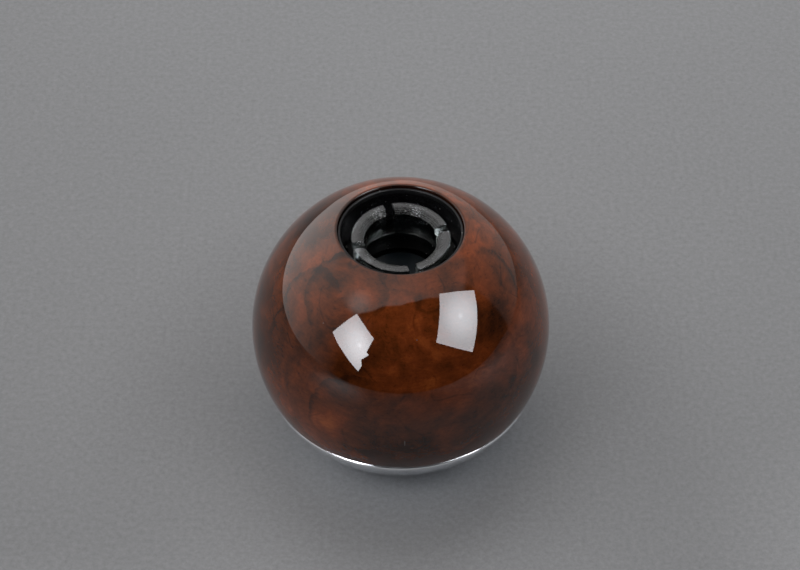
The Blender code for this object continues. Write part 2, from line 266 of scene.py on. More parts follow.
def new_material(name, **inputs):
    """(material, its nodes, its Principled shader), with the shader's plain values set."""
    material = bpy.data.materials.new(name)
    nodes = Nodes(material)
    shader = nodes.tree.nodes["Principled BSDF"]
    for key, value in inputs.items():
        shader.inputs[key.replace("_", " ")].default_value = value
    return material, nodes, shader


# ---------------------------------------------------------------- materials

# Soft light and dark clouds of the burl: azimuth, elevation, radius in mm, strength.
BURL_CLOUDS = (
    (-88, 20, 14.0, -0.13),
    (-60, 20, 9.0, -0.10),
    (-36, 31, 6.0, -0.13),
    (-20, 22, 4.0, -0.06),
    (-50, 57, 4.0, -0.14),
    (-80, 56, 9.0, -0.13),
    (-31, 52, 5.0, 0.08),
    (-26, 57, 3.0, 0.06),
    (-50, 47, 2.6, 0.10),
    (-66, 57, 4.5, 0.20),
    (-112, 56, 8.0, -0.26),
    (-148, 66, 4.0, 0.14),
    (74, 60, 6.0, 0.16),
    (-14, 55, 3.0, 0.12),
    (0, 49, 2.6, -0.12),
    (-14, 20, 4.0, 0.12),
    (50, 13, 6.0, 0.14),
    (17, 11, 3.5, -0.09),
    (-44, -15, 5.0, -0.16),
    (-23, -12, 4.0, 0.12),
    (-72, 2, 5.0, -0.10),
    (72, -4, 5.0, 0.14),
    (5, 43, 8.0, 0.10),
    (7, 46, 3.0, 0.12),
    (11, 40, 1.8, 0.12),
    (15, 33, 1.8, 0.09),
    (-2, 36, 1.8, -0.10),
    (1, 29, 1.8, -0.10),
    (20, 28, 2.2, -0.12),
    (12, 22, 2.0, 0.08),
    (4, 18, 2.0, -0.08),
    (-14, 34, 3.5, -0.08),
    (-7, 41, 2.4, -0.08),
    (8, 27, 8.0, 0.14),
    (27, 23, 7.5, 0.22),
    (50, 19, 5.0, 0.10),
    (61, 31, 5.0, 0.20),
    (50, 36, 4.4, -0.19),
    (52, 47, 2.6, 0.16),
    (58, 53, 4.0, 0.08),
    (78, 46, 8.0, -0.06),
    (80, 12, 8.0, 0.12),
    (-42, -4, 10.0, 0.16),
    (-28, 2, 4.5, 0.12),
    (-38, -14, 5.0, 0.08),
    (0, -14, 8.0, -0.15),
    (-13, -12, 2.0, -0.16),
    (46, 0, 10.0, -0.09),
    (34, -12, 6.0, -0.08),
    (48, 9, 2.0, -0.10),
    (150, 10, 9.0, 0.14),
    (-140, -5, 9.0, -0.16),
    (110, -8, 8.0, -0.12),
    (-125, 15, 7.0, 0.10),
)

# Thin dark veins that curl part of the way round a lobe of the burl: the lobe's azimuth and
# elevation, its radius in mm, and the azimuth and elevation of the side that the vein is on.
BURL_LOBES = (
    (-33, 52, 8.0, -140, 9),
    (-53, 42, 5.9, -168, 33),
    (-36, 55, 6.5, 120, 20),
    (30, 22, 9.5, 60, 10),
    (-15, 3, 9.5, -60, 30),
    (60, 48, 6.0, 120, 20),
    (160, 35, 7.0, 90, 0),
    (-150, 25, 6.5, 180, 40),
)

# Colours of the wood from its darkest figure to its lightest.
WOOD = (
    (0.00, (0.008, 0.0030, 0.0015)),
    (0.28, (0.045, 0.0115, 0.0030)),
    (0.50, (0.125, 0.0285, 0.0060)),
    (0.70, (0.240, 0.0500, 0.0110)),
    (1.00, (0.480, 0.1150, 0.0240)),
)
HOLE_EDGE_SHADE = 0.30  # painted shade: how bright the wood's colour is at the cut edge of the hole, easing to its full colour over the width on the next line
HOLE_EDGE_SHADE_WIDTH = 0.6
MARK_COLOUR = (0.20, 0.17, 0.15)  # dust and the nick
NICK_PLACE = (1.5, -4.0)  # azimuth and elevation
NICK_SHAPE = (11.0, 0.5, 1.5)  # 1 / its half size in mm along X, Y and Z


def burl_figure(nodes, at):
    """How light the wood is at each point, around 0.5."""
    swirl = nodes.vector("SUBTRACT", nodes.noise(at, 0.08, 2.0, colour=True), (0.5, 0.5, 0.5))
    swirled = nodes.vector("ADD", at, nodes.vector("SCALE", swirl, scale=6.0))
    curl = nodes.vector("SUBTRACT", nodes.noise(swirled, 0.35, 3.0, colour=True), (0.5, 0.5, 0.5))
    curled = nodes.vector("ADD", swirled, nodes.vector("SCALE", curl, scale=1.6))

    # Broad soft change, blotches inside it, and a fine speckle.
    light = nodes.math("MULTIPLY_ADD", nodes.noise(curled, 0.11, 2.0, 0.5), 0.35, 0.325)
    for scale, roughness, strength in ((0.22, 0.50, 0.36), (0.50, 0.55, 0.46), (2.2, 0.65, 0.28)):
        mottle = nodes.math("SUBTRACT", nodes.noise(curled, scale, 4.0, roughness), 0.5)
        light = nodes.math("MULTIPLY_ADD", mottle, strength, light)

    # Fine level fibres, wavy where the burl swirls, and finer broken streaks among them.
    eased = nodes.vector("ADD", at, nodes.vector("SCALE", swirl, scale=3.5))
    for stretch, strength in (((0.22, 0.22, 1.5), 0.22), ((0.8, 0.8, 4.5), 0.20)):
        fibre = nodes.noise(nodes.vector("MULTIPLY", eased, stretch), 1.0, 4.0, 0.6)
        light = nodes.math("MULTIPLY_ADD", nodes.math("SUBTRACT", fibre, 0.5), strength, light)

    warped = nodes.vector("ADD", at, nodes.vector("SCALE", curl, scale=2.5))
    for azimuth, elevation, size, strength in BURL_CLOUDS:
        away = nodes.vector("DISTANCE", warped, on_ball(azimuth, elevation))
        light = nodes.math("ADD", light, nodes.ramp(away, 0.15 * size, 1.2 * size, strength, 0.0))

    for azimuth, elevation, size, side_azimuth, side_elevation in BURL_LOBES:
        spoke = nodes.vector("SUBTRACT", warped, on_ball(azimuth, elevation))
        off = nodes.math("SUBTRACT", nodes.vector("LENGTH", spoke), size)
        line = nodes.ramp(off, -0.05, 0.30, 0.17, 0.0)
        inside = nodes.ramp(off, -1.5, -0.1)
        part = nodes.vector("DOT_PRODUCT", spoke, direction(side_azimuth, side_elevation))
        part = nodes.ramp(part, 0.0, 0.55 * size)
        vein = nodes.math("MULTIPLY", nodes.math("MULTIPLY", line, inside), part)
        light = nodes.math("SUBTRACT", light, vein)

    # Thin dark contour veins between the clouds.
    contour = nodes.math("ABSOLUTE", nodes.math("SUBTRACT", nodes.noise(swirled, 0.11, 1.0), 0.5))
    vein = nodes.ramp(contour, 0.0, 0.018, 0.13, 0.0)
    fade = nodes.ramp(nodes.noise(at, 0.21, 2.0), 0.42, 0.58)
    light = nodes.math("SUBTRACT", light, nodes.math("MULTIPLY", vein, fade))

    # Small dark pores.
    pores = nodes.noise(nodes.vector("MULTIPLY", eased, (1.6, 1.6, 3.5)), 1.0, 2.0, 0.5)
    light = nodes.math("SUBTRACT", light, nodes.ramp(pores, 0.60, 0.72, 0.0, 0.12))
    return light


def dust(nodes, at, per_mm, size, sparse):
    """1 on scattered specks of dust. size is their radius in cells of 1 / per_mm, and the share sparse of
    the cells has none."""
    cells = nodes.add("ShaderNodeTexVoronoi", {"Vector": at, "Scale": per_mm}, feature="F1")
    speck = nodes.math("LESS_THAN", cells.outputs["Distance"], size)
    shade = nodes.add("ShaderNodeSeparateColor", {"Color": cells.outputs["Color"]})
    return nodes.math("MULTIPLY", speck, nodes.math("GREATER_THAN", shade.outputs["Red"], sparse))


def burl_material():
    """Dark red-brown burl under a deep, level gloss lacquer with a few specks of dust and one nick."""
    material, nodes, shader = new_material(
        "burl_under_lacquer",
        Specular_IOR_Level=0.0,
        Coat_Weight=1.0,
        Coat_IOR=1.5,
        Coat_Roughness=0.02,
    )
    at = nodes.place()
    light = burl_figure(nodes, at)
    colour = nodes.colours(light, WOOD)
    # Painted shade: the wood's colour darkens towards the edge of the hole.
    rim_shade = nodes.ramp(nodes.from_axis(at), HOLE_R, HOLE_R + HOLE_EDGE_SHADE_WIDTH, HOLE_EDGE_SHADE, 1.0)
    colour = nodes.vector("SCALE", colour, scale=rim_shade)

    off_nick = nodes.vector("MULTIPLY", nodes.vector("SUBTRACT", at, on_ball(*NICK_PLACE)), NICK_SHAPE)
    nick = nodes.math("LESS_THAN", nodes.vector("LENGTH", off_nick), 1.0)
    marks = nodes.math("MAXIMUM", dust(nodes, at, 0.33, 0.036, 0.70), nick)
    nodes.put(shader.inputs["Base Color"], nodes.mix(marks, colour, MARK_COLOUR))

    nodes.put(shader.inputs["Roughness"], nodes.ramp(light, 0.2, 0.9, 0.62, 0.42))
    wave = nodes.noise(at, 0.11, 2.0)
    nodes.put(shader.inputs["Coat Normal"], nodes.bump(wave, 0.02))
    return material


def chrome_material():
    """Polished plating with faint fine scratches and a slightly uneven polish."""
    material, nodes, shader = new_material("polished_chrome", Metallic=1.0)
    at = nodes.place()
    cloud = nodes.noise(at, 0.35, 4.0)
    nodes.put(shader.inputs["Base Color"], nodes.mix(cloud, (0.89, 0.91, 0.94), (0.94, 0.955, 0.97)))
    nodes.put(shader.inputs["Roughness"], nodes.ramp(cloud, 0.3, 0.7, 0.16, 0.22))
    scratches = nodes.noise(nodes.vector("MULTIPLY", at, (1.2, 1.2, 14.0)), 1.0, 3.0, 0.6)
    nodes.put(shader.inputs["Normal"], nodes.bump(scratches, 0.002))
    return material


def moulded_material(name, colour, roughness, grain_mm=0.3, depth_mm=0.01):
    """Moulded plastic or rubber: fine grain in its surface and a little cloud in its colour."""
    material, nodes, shader = new_material(name)
    at = nodes.place()
    cloud = nodes.ramp(nodes.noise(at, 0.22, 4.0, 0.6), 0.3, 0.75)
    pale = tuple(c * 1.6 for c in colour)
    nodes.put(shader.inputs["Base Color"], nodes.mix(cloud, colour, pale))
    wear = nodes.noise(at, 0.9, 3.0)
    nodes.put(shader.inputs["Roughness"], nodes.ramp(wear, 0.3, 0.7, roughness * 0.85, roughness * 1.15))
    nodes.put(shader.inputs["Normal"], nodes.bump(nodes.noise(at, 1 / grain_mm, 3.0, 0.6), depth_mm))
    return material


def liner_material():
    """Black moulded plastic, glossy down the bore and dull and scuffed round its mouth."""
    material, nodes, shader = new_material("black_liner_plastic", Specular_IOR_Level=0.3)
    at = nodes.place()
    mouth = nodes.ramp(nodes.parts(at)["Z"], LINER_TOP_Z - 1.6, LINER_TOP_Z - 0.2)
    scuff = nodes.ramp(nodes.noise(at, 1.6, 4.0, 0.7), 0.35, 0.75)
    bore = nodes.mix(scuff, (0.007, 0.007, 0.008), (0.018, 0.018, 0.020))
    lip = nodes.mix(scuff, (0.004, 0.004, 0.0045), (0.010, 0.010, 0.0115))
    specks = dust(nodes, at, 0.9, 0.09, 0.45)
    nodes.put(shader.inputs["Base Color"], nodes.mix(specks, nodes.mix(mouth, bore, lip), (0.28, 0.28, 0.28)))
    nodes.put(shader.inputs["Roughness"], nodes.ramp(mouth, 0.0, 1.0, 0.16, 0.42))
    nodes.put(shader.inputs["Normal"], nodes.bump(nodes.noise(at, 2.0, 3.0, 0.6), 0.012))
    return material


def collet_material(name, dark, pale):
    """Clear moulded plastic, streaked where it flowed in the mould, with painted shade that darkens it down
    in the socket. Its flats have a pale frost with rings that the turned mould has left in it; that frost is
    partly real and partly painted light standing for the overhead light they reflect, and fine dark lines
    over the lead-in steps are painted shade."""
    material, nodes, shader = new_material(name, IOR=1.49, Specular_IOR_Level=0.5)
    at = nodes.place()
    height = nodes.parts(at)["Z"]
    out = nodes.from_axis(at)

    flow = nodes.noise(nodes.vector("MULTIPLY", at, (0.5, 0.5, 2.5)), 1.0, 3.0, 0.55)
    # Painted shade: the colour darkens down in the socket, towards the flange.
    socket_shade = nodes.ramp(height, COLLET_FLANGE_TOP_Z + 0.2, COLLET_FLANGE_TOP_Z + 2.8, 0.14, 1.0)
    clear = nodes.vector("SCALE", nodes.mix(flow, dark, pale), scale=socket_shade)

    # The pale frost on the flats is partly real and partly painted light for the overhead light they reflect.
    up = nodes.parts(nodes.add("ShaderNodeNewGeometry").outputs["Normal"])["Z"]
    flat = nodes.math("MULTIPLY", nodes.ramp(up, 0.80, 0.97), nodes.ramp(height, 39.0, 40.0))
    # Painted shade: fine dark lines over the lead-in steps, LEAD_IN_PITCH apart.
    line = nodes.math("SINE", nodes.math("MULTIPLY", out, math.tau / LEAD_IN_PITCH))
    line = nodes.math("MULTIPLY", nodes.ramp(line, 0.1, 0.8), nodes.ramp(out, 7.02, 6.90))
    flat = nodes.math("MULTIPLY", flat, nodes.math("MULTIPLY_ADD", line, -0.8, 1.0))
    flat = nodes.math("MULTIPLY", flat, nodes.ramp(out, 6.2, 7.0, 0.5, 1.0))

    across = nodes.add("ShaderNodeCombineXYZ", {"X": nodes.math("MULTIPLY", out, 4.5)}).outputs["Vector"]
    rings = nodes.ramp(nodes.noise(across, 1.0, 2.0), 0.35, 0.65)
    frost_and_painted_light = nodes.mix(rings, (0.34, 0.35, 0.36), (0.56, 0.57, 0.59))
    specks = nodes.math("MULTIPLY", dust(nodes, at, 1.1, 0.10, 0.60), nodes.math("LESS_THAN", flat, 0.2))
    colour = nodes.mix(specks, nodes.mix(flat, clear, frost_and_painted_light), (0.60, 0.60, 0.60))
    nodes.put(shader.inputs["Base Color"], colour)

    clearness = nodes.ramp(flat, 0.0, 1.0, 1.0, 0.89)
    clearness = nodes.math("SUBTRACT", clearness, nodes.math("MULTIPLY", specks, 0.8))
    nodes.put(shader.inputs["Transmission Weight"], clearness)
    nodes.put(shader.inputs["Roughness"], nodes.ramp(nodes.noise(at, 0.8, 4.0), 0.35, 0.65, 0.05, 0.14))
    nodes.put(shader.inputs["Normal"], nodes.bump(nodes.noise(at, 2.2, 4.0, 0.7), 0.014))
    return material


def metal_material(name, colour, roughness, rings_mm=0.25):
    """Turned or plated metal with fine tool marks."""
    material, nodes, shader = new_material(name, Metallic=1.0)
    at = nodes.place()
    cloud = nodes.noise(at, 0.6, 4.0)
    dull = tuple(c * 0.78 for c in colour)
    nodes.put(shader.inputs["Base Color"], nodes.mix(cloud, dull, colour))
    nodes.put(shader.inputs["Roughness"], nodes.ramp(cloud, 0.3, 0.7, roughness * 0.8, roughness * 1.25))
    marks = nodes.noise(nodes.vector("MULTIPLY", at, (0.4, 0.4, 1 / rings_mm)), 1.0, 2.0)
    nodes.put(shader.inputs["Normal"], nodes.bump(marks, 0.01))
    return material


def pool(nodes, at, centre, along_deg, half_length, half_width):
    """1 in the middle of a long oval patch of the floor, falling to 0 at its edge."""
    centre = (*centre, 0.0)
    aligned = nodes.add(
        "ShaderNodeVectorRotate",
        {"Vector": at, "Center": centre, "Angle": math.radians(-along_deg)},
        rotation_type="Z_AXIS",
    ).outputs["Vector"]
    off = nodes.vector("SUBTRACT", aligned, centre)
    off = nodes.vector("MULTIPLY", off, (1 / half_length, 1 / half_width, 0.0))
    return nodes.ramp(nodes.vector("LENGTH", off), 0.15, 1.0, 1.0, 0.0)


def floor_tone(nodes, at):
    """How bright the light is on each part of the card. It pools beside the softboxes, comes back from
    the chrome in front of the ball, and is weaker between the pools and close round the ball."""
    parts = nodes.parts(at)
    aside = nodes.math("ABSOLUTE", parts["X"])
    forward = nodes.math("MULTIPLY", parts["Y"], -1.0)
    tone = nodes.ramp(nodes.vector("LENGTH", at), 22.0, 60.0, 0.80, 1.0)
    front = nodes.ramp(aside, 12.0, 52.0, 0.42, 0.0)
    tone = nodes.math("MULTIPLY_ADD", nodes.ramp(forward, -8.0, 22.0), front, tone)
    near = nodes.ramp(forward, 44.0, 85.0, 0.0, 0.38)
    far = nodes.ramp(forward, 110.0, 200.0, 0.0, 0.25)
    shade = nodes.math("MULTIPLY", nodes.math("ADD", near, far), nodes.ramp(aside, 60.0, 130.0, 1.0, 0.0))
    tone = nodes.math("SUBTRACT", tone, shade)
    for strength, oval in FLOOR_POOLS:
        tone = nodes.math("MULTIPLY_ADD", pool(nodes, at, **oval), strength, tone)
    return tone


def floor_material():
    """Pale matte card with a fine mottle and the studio's uneven light on it."""
    material, nodes, shader = new_material("pale_card", Specular_IOR_Level=0.25)
    at = nodes.place()
    fine = nodes.noise(at, 1.1, 3.0, 0.75)
    broad = nodes.noise(at, 0.02, 2.0)
    mottle = nodes.math("MULTIPLY_ADD", nodes.math("SUBTRACT", fine, 0.5), 0.66, 1.0)
    mottle = nodes.math("MULTIPLY_ADD", nodes.math("SUBTRACT", broad, 0.5), 0.08, mottle)
    tone = nodes.math("MULTIPLY", floor_tone(nodes, at), mottle)
    nodes.put(shader.inputs["Base Color"], nodes.vector("SCALE", FLOOR_COLOUR, scale=tone))
    nodes.put(shader.inputs["Roughness"], nodes.ramp(fine, 0.3, 0.7, 0.75, 0.9))
    nodes.put(shader.inputs["Normal"], nodes.bump(fine, 0.05))
    return material


def softbox_material(name, hot, level):
    """Softbox cloth, brightest at the point hot and weaker towards its edges."""
    material = bpy.data.materials.new(name)
    nodes = Nodes(material)
    nodes.tree.nodes.remove(nodes.tree.nodes["Principled BSDF"])
    at = nodes.place()
    away = nodes.vector("DISTANCE", at, (*hot, 0.0))
    cloth = nodes.ramp(away, 20.0, 190.0, level, 0.62 * level)
    tube = nodes.ramp(away, 0.0, 26.0, 0.25 * level, 0.0)
    strength = nodes.math("ADD", cloth, tube)
    glow = nodes.add("ShaderNodeEmission", {"Color": SOFTBOX_COLOUR, "Strength": strength})
    nodes.put(nodes.tree.nodes["Material Output"].inputs["Surface"], glow.outputs["Emission"])
    return material


# ---------------------------------------------------------------- mesh helpers

def arc(centre_r, centre_z, size, from_deg, to_deg, steps):
    """Points of a circle in the (r, z) plane; 0 degrees points outwards and 90 up."""
    for i in range(steps + 1):
        a = math.radians(from_deg + (to_deg - from_deg) * i / steps)
        yield (centre_r + size * math.cos(a), centre_z + size * math.sin(a))


def ball_arc(size, from_deg, to_deg, steps):
    """Points down or up a sphere about the ball's centre, with a short first and last step."""
    short = math.copysign(0.12, to_deg - from_deg)
    ends = list(arc(0.0, BALL_Z, size, from_deg, to_deg, 1))
    return ends[:1] + list(arc(0.0, BALL_Z, size, from_deg + short, to_deg - short, steps)) + ends[1:]


def level_deg(size, z):
    """Elevation, from the ball's centre, of the level z on a sphere about it."""
    return math.degrees(math.asin((z - BALL_Z) / size))


def ball_z(size, r):
    return BALL_Z + math.sqrt(size**2 - r**2)


def rounded(corners, steps=5):
    """Points of a profile. A corner (r, z, fillet) is rounded to that radius; (r, z) stays sharp."""
    points = []
    for i, corner in enumerate(corners):
        if len(corner) == 2:
            points.append(corner)
            continue
        here = Vector(corner[:2])
        to_last = (Vector(corners[i - 1][:2]) - here).normalized()
        to_next = (Vector(corners[(i + 1) % len(corners)][:2]) - here).normalized()
        half = to_last.angle(to_next) / 2
        centre = here + (to_last + to_next).normalized() * corner[2] / math.sin(half)
        spoke = here + to_last * corner[2] / math.tan(half) - centre
        last_spoke = here + to_next * corner[2] / math.tan(half) - centre
        turn = spoke.angle_signed(last_spoke)
        for k in range(steps + 1):
            points.append(tuple(centre + Matrix.Rotation(-turn * k / steps, 2) @ spoke))
    return points


def mesh_object(name, bm, material):
    bmesh.ops.remove_doubles(bm, verts=bm.verts, dist=1e-7)
    bmesh.ops.recalc_face_normals(bm, faces=bm.faces)
    mesh = bpy.data.meshes.new(name)
    bm.to_mesh(mesh)
    bm.free()
    mesh.shade_smooth()
    mesh.set_sharp_from_angle(angle=math.radians(SHARP_DEG))
    mesh.materials.append(material)
    obj = bpy.data.objects.new(name, mesh)
    bpy.context.scene.collection.objects.link(obj)
    return obj


def swept(name, profile, material, angles_at, steps, whole=True):
    """A profile swept about Z. angles_at(r) gives the first and last angle of its points at radius r."""
    bm = bmesh.new()
    rows = []
    count = steps if whole else steps + 1
    for r, z in profile:
        first, last = angles_at(r)
        turns = [first + (last - first) * i / steps for i in range(count)]
        rows.append([bm.verts.new((r * math.cos(a) * MM, r * math.sin(a) * MM, z * MM)) for a in turns])
    for here, after in zip(rows, rows[1:] + rows[:1]):
        for i in range(steps):
            k = (i + 1) % count
            corners = [here[i], here[k], after[k], after[i]]
            if len({tuple(v.co) for v in corners}) >= 3:
                bm.faces.new(corners)
    if not whole:
        bm.faces.new([row[0] for row in rows])
        bm.faces.new([row[-1] for row in reversed(rows)])
    return mesh_object(name, bm, material)


def turned(name, profile, material, steps=ROUND):
    """A full ring from a closed profile. A profile that starts and ends on the axis makes a solid."""
    return swept(name, profile, material, lambda r: (0.0, math.tau), steps)


def stands_for(obj, slot, body, *nodes):
    """Put a piece in the place of the frame's nodes, on the body it rides. slot is not used."""
    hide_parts(*nodes)
    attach(obj, body)


# ---------------------------------------------------------------- outside of the ball

def build_shell(material):
    """The hollow ball. A soft shoulder and a small corner in the lacquer lead into its hole."""
    end = math.radians(HOLE_EDGE_END_DEG)
    shoulder_r = HOLE_R + HOLE_CORNER * (1 + math.cos(end)) - HOLE_EDGE * math.cos(end)
    hole_z = ball_z(BALL_R - HOLE_EDGE, shoulder_r)
    top_deg = level_deg(BALL_R - HOLE_EDGE, hole_z)
    corner_r = shoulder_r + (HOLE_EDGE - HOLE_CORNER) * math.cos(end)
    corner_z = hole_z + (HOLE_EDGE - HOLE_CORNER) * math.sin(end)
    foot_deg = level_deg(BALL_R - RIM_EDGE, SHELL_RIM_Z + RIM_EDGE)
    rim_r = (BALL_R - RIM_EDGE) * math.cos(math.radians(foot_deg))
    profile = list(arc(corner_r, corner_z, HOLE_CORNER, 180.0, HOLE_EDGE_END_DEG, 4))[:-1]
    profile += list(arc(shoulder_r, hole_z, HOLE_EDGE, HOLE_EDGE_END_DEG, top_deg, 10))[:-1]
    profile += ball_arc(BALL_R, top_deg, foot_deg, 110)
    profile += list(arc(rim_r, SHELL_RIM_Z + RIM_EDGE, RIM_EDGE, foot_deg, -90.0, 6))[1:]
    profile += [(REBATE_R, SHELL_RIM_Z), (REBATE_R, REBATE_Z)]
    inner_top = level_deg(SHELL_INNER_R, ball_z(SHELL_INNER_R, HOLE_R))
    profile += ball_arc(SHELL_INNER_R, level_deg(SHELL_INNER_R, REBATE_Z), inner_top, 30)
    shell = turned("lacquered_burl_ball", profile, material, FINE_ROUND)
    stands_for(shell, "burl_lacquer", "ball", "burl_shell")


def build_seam_ring(material):
    inner, outer = RING_LAND_R + SEAM_INSET, REBATE_R - FIT
    low, high = foot("seam_ring"), top("seam_ring")
    profile = rounded([(inner, high), (outer, high), (outer, low, 0.12), (inner, low, 0.12)])
    stands_for(turned("seam_gasket", profile, material), "seam_rubber", "ball", "seam_ring")


def build_foot_ring(material):
    """Its upper edge is a broad rounding that tucks under the wood."""
    edge_z = RING_TOP_Z - RING_EDGE * math.sin(math.radians(RING_EDGE_TOP_DEG))
    top_deg = level_deg(RING_R - RING_EDGE, edge_z)
    edge_r = (RING_R - RING_EDGE) * math.cos(math.radians(top_deg))
    foot_deg = level_deg(RING_R - RIM_EDGE, RING_FOOT_Z + RIM_EDGE)
    foot_r = (RING_R - RIM_EDGE) * math.cos(math.radians(foot_deg))
    profile = [(RING_LAND_R, RING_TOP_Z)]
    profile += list(arc(edge_r, edge_z, RING_EDGE, RING_EDGE_TOP_DEG, top_deg, 14))[:-1]
    profile += ball_arc(RING_R, top_deg, foot_deg, 40)
    profile += list(arc(foot_r, RING_FOOT_Z + RIM_EDGE, RIM_EDGE, foot_deg, -90.0, 6))[1:]
    profile += [(RING_WALL_R, RING_FOOT_Z), (RING_WALL_R, RING_FLANGE_Z[0])]
    profile += [(RING_FLANGE_R, RING_FLANGE_Z[0]), (RING_FLANGE_R, RING_FLANGE_Z[1])]
    low_deg = level_deg(RING_INSIDE_R, RING_FLANGE_Z[1])
    profile += ball_arc(RING_INSIDE_R, low_deg, level_deg(RING_INSIDE_R, RING_LAND_FOOT_Z), 6)
    profile += [(RING_LAND_R, RING_LAND_FOOT_Z)]
    ring = turned("chrome_foot_ring", profile, material, FINE_ROUND)
    stands_for(ring, "polished_chrome", "ball", "foot_ring")


def build_friction_pad(material):
    """Rubber disc with rounded groove edges."""
    corners = [(0.0, PAD_TOP_Z), (PAD_R, PAD_TOP_Z, 0.1), (PAD_R, 0.0, 0.3)]
    for inner, outer in reversed(PAD_GROOVES):
        corners += [(outer, 0.0, 0.12), (outer, PAD_GROOVE_DEPTH, 0.2)]
        corners += [(inner, PAD_GROOVE_DEPTH, 0.2), (inner, 0.0, 0.12)]
    corners += [(0.0, 0.0)]
    pad = turned("rubber_friction_pad", rounded(corners, 4), material)
    stands_for(pad, "friction_rubber", "ball", "friction_pad")


# ---------------------------------------------------------------- socket

def build_liner(material):
    under_step = LINER_STEP_Z - LINER_STEP_WALL
    corners = [
        (LINER_BORE_R, LINER_TOP_Z, 0.15),
        (LINER_R, LINER_TOP_Z, 0.12),
        (LINER_R, under_step),
        (LINER_CUP_R, under_step),
        (LINER_CUP_R, LINER_FOOT_Z, 0.2),
        (LINER_SCREW_R, LINER_FOOT_Z),
        (LINER_SCREW_R, LINER_FLOOR_Z - LINER_HEAD_DEPTH),
        (LINER_HEAD_R, LINER_FLOOR_Z),
        (LINER_CUP_BORE_R, LINER_FLOOR_Z, 0.2),
        (LINER_CUP_BORE_R, LINER_STEP_Z, 0.1),
        (LINER_BORE_R, LINER_STEP_Z, 0.1),
    ]
    liner = turned("black_socket_liner", rounded(corners), material)
    stands_for(liner, "liner_plastic", "ball", "socket_liner")


def build_collet_base(material):
    corners = [
        (COLLET_BORE_R, COLLET_FLANGE_TOP_Z, 0.1),
        (COLLET_FLANGE_R, COLLET_FLANGE_TOP_Z, 0.2),
        (COLLET_FLANGE_R, LINER_STEP_Z + FIT, 0.1),
        (COLLET_TUBE_R, LINER_STEP_Z + FIT, 0.1),
        (COLLET_TUBE_R, LINER_FLOOR_Z + FIT, 0.1),
        (COLLET_BORE_R, LINER_FLOOR_Z + FIT, 0.1),
    ]
    base = turned("collet_flange_and_tube", rounded(corners, 3), material)
    for number in range(1, FINGERS + 1):
        build_rib(number, material)
    stands_for(base, "collet_plastic", "ball", "collet_base")


def build_rib(number, material):
    """A thin rib on the flange: its top edge falls outwards to the black wall."""
    low = COLLET_FLANGE_TOP_Z + RIB_GAP
    inner, outer = RIB_R
    corners = [(inner, low), (outer, low), (outer, RIB_TOP_Z[1], 0.2), (inner, RIB_TOP_Z[0], 0.25)]
    outline = rounded(corners, 3)
    bm = bmesh.new()
    sides = [[bm.verts.new((r * MM, y * RIB_WIDTH / 2 * MM, z * MM)) for r, z in outline] for y in (-1, 1)]
    bm.faces.new(sides[0])
    bm.faces.new(reversed(sides[1]))
    for i in range(len(outline)):
        k = (i + 1) % len(outline)
        bm.faces.new((sides[0][i], sides[0][k], sides[1][k], sides[1][i]))
    turn = Matrix.Rotation((number - 1) * math.pi / 2, 3, "Z")
    bmesh.ops.rotate(bm, verts=bm.verts, cent=(0, 0, 0), matrix=turn)
    rib = mesh_object(f"collet_rib_{number}", bm, material)
    soften(rib, 0.08)
    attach(rib, "ball")


def soften(obj, width_mm, segments=2):
    bevel = obj.modifiers.new("moulded_edges", "BEVEL")
    bevel.width = width_mm * MM
    bevel.segments = segments
    bevel.limit_method = "ANGLE"
    bevel.angle_limit = math.radians(BEVEL_DEG)


def build_finger(number, material):
    """One sprung quadrant of the collet, with a stepped lead-in to its snap lip. It rises out of the
    flange at its root."""
    t, lip = FINGER_TOP_Z, SHANK_R
    root = COLLET_FLANGE_TOP_Z + FINGER_GAP
    corners = [(COLLET_BORE_R, root), (COLLET_BORE_R, t - LIP_RAMP[0], 0.2)]
    corners += [(lip, t - LIP_RAMP[1], 0.15), (lip, t - LEAD_IN_STEPS[0][1], 0.08)]
    for out, below, above, fillet in LEAD_IN_STEPS:
        corners += [(lip + out, t - below, LEAD_IN_FILLET), (lip + out, t - above, fillet)]
    corners += [
        (FINGER_R, t, 0.15),
        (FINGER_R, t - COLLAR[0], 0.1),
        (FINGER_WAIST_R, t - COLLAR[1], 0.1),
        (FINGER_WAIST_R, root),
    ]
    slot = math.radians(FIRST_SLOT_DEG + (number - 1) * 90.0)

    def between_slots(r):
        side = math.asin(SLOT_WIDTH / 2 / r)
        return slot + side, slot + math.pi / 2 - side

    name = f"clear_collet_finger_{number}"
    finger = swept(name, rounded(corners, 3), material, between_slots, 40, whole=False)
    soften(finger, 0.05, 1)
    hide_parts(f"collet_finger_{number}")
    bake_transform(finger)


def build_socket_pad(material):
    low = LINER_FLOOR_Z + FIT
    high, out = SOCKET_PAD_TOP_Z, SOCKET_PAD_R
    corners = [(0.0, high), (out, high, 0.15), (out, low), (0.0, low)]
    pad = turned("socket_floor_disc", rounded(corners), material)
    stands_for(pad, "socket_pad_rubber", "ball", "socket_pad")


# ---------------------------------------------------------------- pieces kept from the frame

def finish_nodes(prefix, material):
    """Give the material to every piece that is kept from the frame and whose name starts with prefix."""
    for name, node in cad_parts.items():
        if name.startswith(prefix):
            node.data.materials.clear()
            node.data.materials.append(material)


# ---------------------------------------------------------------- studio

FLOOR_COLOUR = (0.227, 0.2325, 0.240)

# Pools of light on the card: how much is added in the middle of each, and its oval in mm.
FLOOR_POOLS = (
    (2.9, dict(centre=(-112.0, -132.0), along_deg=50.0, half_length=125.0, half_width=62.0)),
    (0.85, dict(centre=(140.0, -70.0), along_deg=-27.0, half_length=110.0, half_width=60.0)),
)

